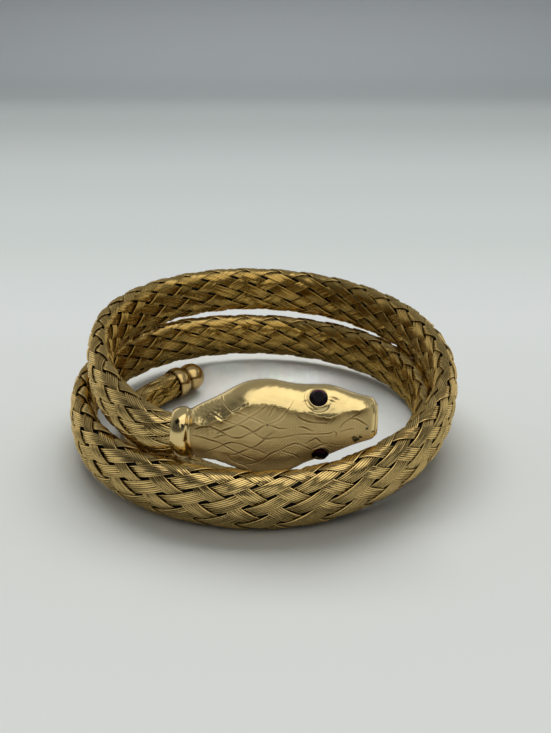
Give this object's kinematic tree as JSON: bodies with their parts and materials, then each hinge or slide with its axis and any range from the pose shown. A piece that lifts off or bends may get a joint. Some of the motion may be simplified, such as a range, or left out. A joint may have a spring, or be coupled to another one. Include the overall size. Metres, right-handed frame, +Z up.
{
  "type": "snake wrap bracelet",
  "caption": "Springy woven metal wrap bracelet shaped as a coiled snake, with a cast scaled head set with faceted eyes and a beaded tail, lying on its side.",
  "frame": {"origin": "middle of the coil's box in plan, at the level it lies on", "axes": "+Z up along the coil's axis, -Y towards the side with the head, +X the way the head points"},
  "size_m": [0.069, 0.0724, 0.0209],
  "materials": {
    "woven_wire": "woven flat ribbons of fine wire, gold plated, softly worn",
    "cast_gold": "gold-plated casting, polished cheeks and duller scales",
    "dark_stone": "faceted, dark garnet red",
    "turned_gold": "gold-plated, polished"
  },
  "bodies": {
    "root": {"woven_band": "woven_wire", "snake_head": "cast_gold", "eye_upper": "dark_stone", "eye_lower": "dark_stone", "tail_cap": "turned_gold"}
  },
  "joints": []
}
